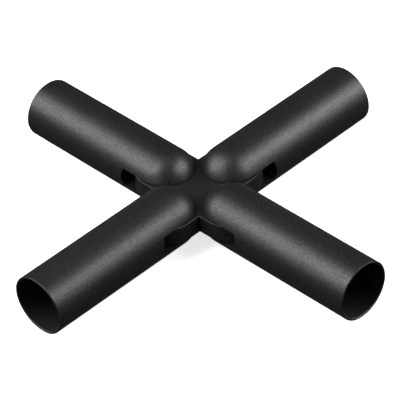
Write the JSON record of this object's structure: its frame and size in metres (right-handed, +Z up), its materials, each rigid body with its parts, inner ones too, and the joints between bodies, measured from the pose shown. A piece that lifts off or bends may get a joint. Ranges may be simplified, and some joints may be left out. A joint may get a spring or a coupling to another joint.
{
  "type": "four-way swivel tube connector",
  "caption": "Flat swivel cross fitting for round frame poles: four tube sleeves with slotted, domed noses turn on vertical pivot screws in the arms of a flat steel core.",
  "frame": {"origin": "centre of the core, where the four sleeves' axes cross with every swivel at rest", "axes": "+Z up, along the pivots; +X along socket_tube_right at rest, +Y along socket_tube_back at rest"},
  "size_m": [0.265, 0.265, 0.0382],
  "materials": {
    "core_coat": "fine textured black powder coat",
    "tube_coat": "fine textured black powder coat",
    "plug_coat": "fine textured black powder coat",
    "bush_steel": "plain turned steel",
    "shim_steel": "zinc plated",
    "screw_steel": "black oxide"
  },
  "bodies": {
    "core": {"cross_core": "core_coat", "pivot_bush_right": "bush_steel", "pivot_bush_back": "bush_steel", "pivot_bush_left": "bush_steel", "pivot_bush_front": "bush_steel", "upper_shim_right": "shim_steel", "upper_shim_back": "shim_steel", "upper_shim_left": "shim_steel", "upper_shim_front": "shim_steel", "lower_shim_right": "shim_steel", "lower_shim_back": "shim_steel", "lower_shim_left": "shim_steel", "lower_shim_front": "shim_steel"},
    "sleeve_right": {"socket_tube_right": "tube_coat", "nose_plug_right": "plug_coat", "pivot_screw_right": "screw_steel"},
    "sleeve_back": {"socket_tube_back": "tube_coat", "nose_plug_back": "plug_coat", "pivot_screw_back": "screw_steel"},
    "sleeve_left": {"socket_tube_left": "tube_coat", "nose_plug_left": "plug_coat", "pivot_screw_left": "screw_steel"},
    "sleeve_front": {"socket_tube_front": "tube_coat", "nose_plug_front": "plug_coat", "pivot_screw_front": "screw_steel"}
  },
  "joints": [
    {"name": "swivel_right", "type": "hinge", "parent": "core", "child": "sleeve_right", "pos_m": [0.0279, 0, 0], "axis": [0, 0, 1], "range_deg": [-45, 45]},
    {"name": "swivel_back", "type": "hinge", "parent": "core", "child": "sleeve_back", "pos_m": [0, 0.0279, 0], "axis": [0, 0, 1], "range_deg": [-45, 45]},
    {"name": "swivel_left", "type": "hinge", "parent": "core", "child": "sleeve_left", "pos_m": [-0.0279, 0, 0], "axis": [0, 0, 1], "range_deg": [-45, 45]},
    {"name": "swivel_front", "type": "hinge", "parent": "core", "child": "sleeve_front", "pos_m": [0, -0.0279, 0], "axis": [0, 0, 1], "range_deg": [-45, 45]}
  ]
}
